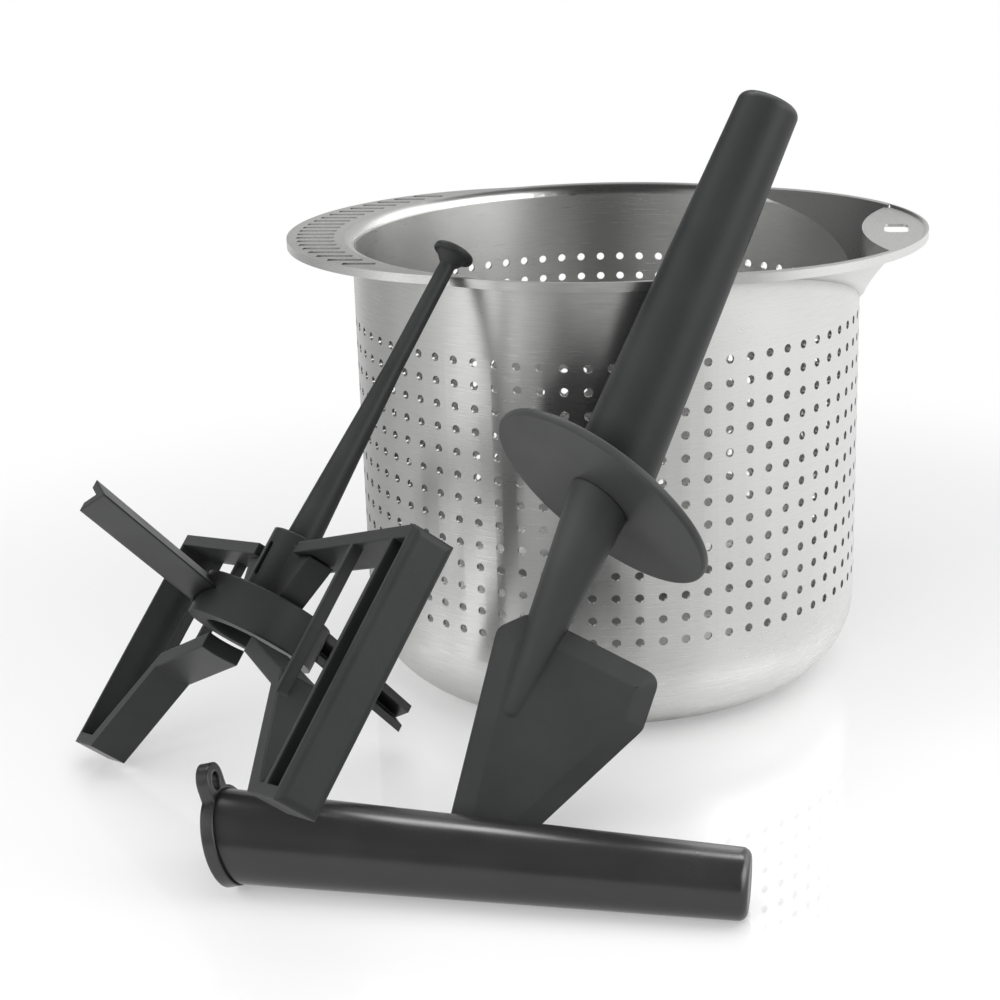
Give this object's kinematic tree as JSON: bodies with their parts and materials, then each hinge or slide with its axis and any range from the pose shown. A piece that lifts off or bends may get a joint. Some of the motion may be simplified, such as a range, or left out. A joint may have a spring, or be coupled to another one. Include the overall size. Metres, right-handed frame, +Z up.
{
  "type": "food mill basket and tool set",
  "caption": "Perforated steel straining basket with slotted ear and pouring lip, with a winged stirring paddle on a lifting rod, a guarded spatula and a tapered pusher.",
  "frame": {"origin": "centre of the basket's flat underside", "axes": "+Z up the basket's axis, +X through the pouring lip, the slotted ear on -X, the loose tools on -Y"},
  "size_m": [0.2213, 0.2804, 0.171],
  "materials": {
    "steel": "fine horizontal brushing",
    "paddle_plastic": "matt moulded grain",
    "spatula_plastic": "matt moulded grain",
    "pusher_plastic": "satin"
  },
  "bodies": {
    "basket": {"basket_drum": "steel", "basket_rim": "steel"},
    "paddle": {"paddle_hub": "paddle_plastic", "paddle_right_wing": "paddle_plastic", "paddle_left_wing": "paddle_plastic", "paddle_front_arm": "paddle_plastic", "paddle_rear_arm": "paddle_plastic"},
    "rod": {"lifting_rod": "paddle_plastic"},
    "spatula": {"spatula_blade": "spatula_plastic", "spatula_guard": "spatula_plastic", "spatula_handle": "spatula_plastic"},
    "pusher": {"pusher_tube": "pusher_plastic", "pusher_flange": "pusher_plastic"}
  },
  "joints": [
    {"name": "paddle_lift", "type": "slide", "parent": "basket", "child": "paddle", "axis": [-0.4008, -0.6913, 0.6012], "range_m": [0, 0.15]},
    {"name": "rod_pull", "type": "slide", "parent": "paddle", "child": "rod", "axis": [0.3806, 0.5632, 0.7335], "range_m": [0, 0.016]},
    {"name": "spatula_lift", "type": "slide", "parent": "basket", "child": "spatula", "axis": [0.2196, -0.2995, 0.9285], "range_m": [0, 0.15]},
    {"name": "pusher_draw", "type": "slide", "parent": "basket", "child": "pusher", "axis": [0, -0.9659, 0.259], "range_m": [0, 0.12]}
  ]
}
